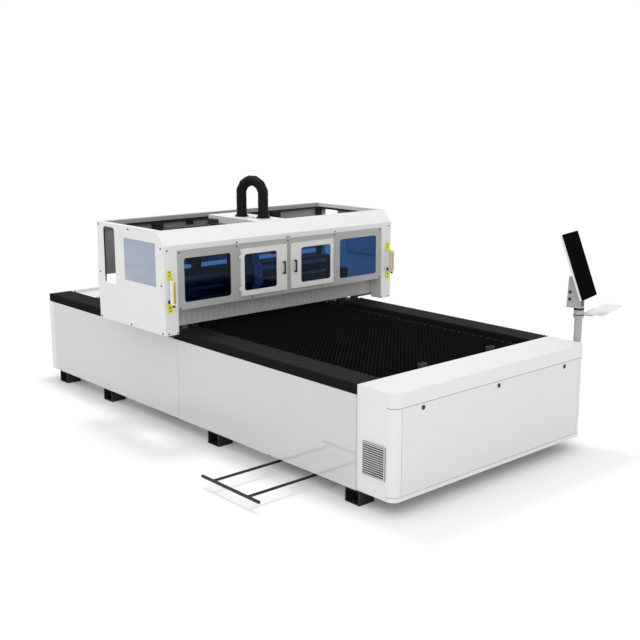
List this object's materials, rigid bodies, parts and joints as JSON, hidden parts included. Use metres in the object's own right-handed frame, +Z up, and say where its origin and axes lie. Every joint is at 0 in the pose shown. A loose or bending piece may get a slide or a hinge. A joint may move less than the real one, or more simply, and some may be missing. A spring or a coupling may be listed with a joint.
{
  "type": "fiber laser cutting machine",
  "caption": "Open flatbed laser cutter: long bed with a saw-toothed slat table between bellows, a glazed gantry housing that travels on rails, and a swivelling console.",
  "frame": {"origin": "on the floor under the middle of the whole machine", "axes": "+Z up, +Y from the operator cabinet to the rear end, +X to the right seen from the operator cabinet"},
  "size_m": [3.0364, 4.3716, 1.8899],
  "materials": {
    "white_paint": "satin white powder coat",
    "panel_grey": "glossy light grey enamel",
    "dark_steel": "dark grey paint",
    "black_steel": "black paint",
    "rail_steel": "ground steel",
    "slat_steel": "scorched black steel",
    "comb_steel": "blue grey paint",
    "frame_grey": "satin mid grey",
    "blue_glass": "blue laser safety glass",
    "side_glass": "pale laser safety glass",
    "curtain": "matt grey strip",
    "bellows": "black coated fabric",
    "yellow_paint": "signal yellow",
    "amber": "amber lens",
    "black_plastic": "black moulded plastic",
    "hose": "black ribbed hose",
    "screen": "dark display",
    "pole_grey": "satin grey",
    "grille": "satin grey"
  },
  "bodies": {
    "bed": {"bed_frame": "dark_steel", "feet": "black_steel", "guide_rails": "rail_steel", "slat_frame": "comb_steel", "slats": "slat_steel", "left_panels": "panel_grey", "right_panels": "panel_grey", "rear_cover": "white_paint", "rear_deck": "white_paint", "cabinet_shell": "white_paint", "corner_covers": "white_paint", "access_panel": "white_paint", "vent_grille": "grille", "console_pole": "pole_grey", "drawer_runners": "dark_steel", "bellows_left_front": "bellows", "bellows_left_rear": "bellows", "bellows_right_front": "bellows", "bellows_right_rear": "bellows"},
    "gantry": {"end_carriages": "dark_steel", "rail_blocks": "rail_steel", "crossbeam": "dark_steel", "x_rails": "rail_steel", "drive_motors": "black_steel", "chain_tray": "white_paint", "inner_frame": "black_steel", "housing_left": "white_paint", "housing_right": "white_paint", "front_frame": "white_paint", "slope_panels": "white_paint", "housing_rear": "frame_grey", "window_frame": "frame_grey", "fixed_glass": "blue_glass", "side_windows": "side_glass", "splash_curtain": "curtain", "guard_brackets": "yellow_paint", "guard_bars": "white_paint", "guard_lenses": "amber", "x_chain": "black_plastic"},
    "x_carriage": {"x_plate": "dark_steel", "x_blocks": "rail_steel", "z_axis": "black_steel", "cover_box": "white_paint", "hose_loop": "hose"},
    "z_slide": {"cutting_head": "rail_steel"},
    "left_door": {"left_door": "white_paint", "left_door_glass": "blue_glass", "left_handle": "black_plastic"},
    "right_door": {"right_door": "white_paint", "right_door_glass": "blue_glass", "right_handle": "black_plastic"},
    "console_head": {"swivel_bracket": "pole_grey", "keyboard_tray": "white_paint"},
    "monitor": {"monitor_case": "white_paint", "monitor_screen": "screen"},
    "slag_drawer": {"slag_tray": "dark_steel", "drawer_handle": "black_steel"},
    "lock_left": {"cam_lock_left": "black_steel"},
    "lock_mid": {"cam_lock_mid": "black_steel"},
    "lock_right": {"cam_lock_right": "black_steel"}
  },
  "joints": [
    {"name": "gantry_slide", "type": "slide", "parent": "bed", "child": "gantry", "axis": [0, 1, 0], "range_m": [-1.79, 1.23], "deforming": ["bellows_left_front", "bellows_left_rear", "bellows_right_front", "bellows_right_rear"]},
    {"name": "carriage_slide", "type": "slide", "parent": "gantry", "child": "x_carriage", "axis": [1, 0, 0], "range_m": [-0.664, 0.836], "deforming": ["x_chain"]},
    {"name": "head_slide", "type": "slide", "parent": "x_carriage", "child": "z_slide", "axis": [0, 0, 1], "range_m": [-0.115, 0]},
    {"name": "left_door_hinge", "type": "hinge", "parent": "gantry", "child": "left_door", "pos_m": [-0.4812, 0.00346, 1.1885], "axis": [0, 0, -1], "range_deg": [0, 105]},
    {"name": "right_door_hinge", "type": "hinge", "parent": "gantry", "child": "right_door", "pos_m": [0.4828, 0.00346, 1.1885], "axis": [0, 0, 1], "range_deg": [0, 105]},
    {"name": "console_swivel", "type": "hinge", "parent": "bed", "child": "console_head", "pos_m": [1.0308, -2.01724, 0.99], "axis": [0, 0, 1], "range_deg": [-75, 15]},
    {"name": "monitor_tilt", "type": "hinge", "parent": "console_head", "child": "monitor", "pos_m": [1.01725, -1.9629, 1.136], "axis": [0.9703, 0.2419, 0], "range_deg": [-10, 20.5]},
    {"name": "drawer_slide", "type": "slide", "parent": "bed", "child": "slag_drawer", "axis": [-1, 0, 0], "range_m": [0, 1.15]},
    {"name": "lock_left_turn", "type": "hinge", "parent": "bed", "child": "lock_left", "pos_m": [-0.7242, -2.12724, 0.659], "axis": [0, 1, 0], "range_deg": [0, 90]},
    {"name": "lock_mid_turn", "type": "hinge", "parent": "bed", "child": "lock_mid", "pos_m": [0.0008, -2.12724, 0.659], "axis": [0, 1, 0], "range_deg": [0, 90]},
    {"name": "lock_right_turn", "type": "hinge", "parent": "bed", "child": "lock_right", "pos_m": [0.7258, -2.12724, 0.659], "axis": [0, 1, 0], "range_deg": [0, 90]}
  ]
}
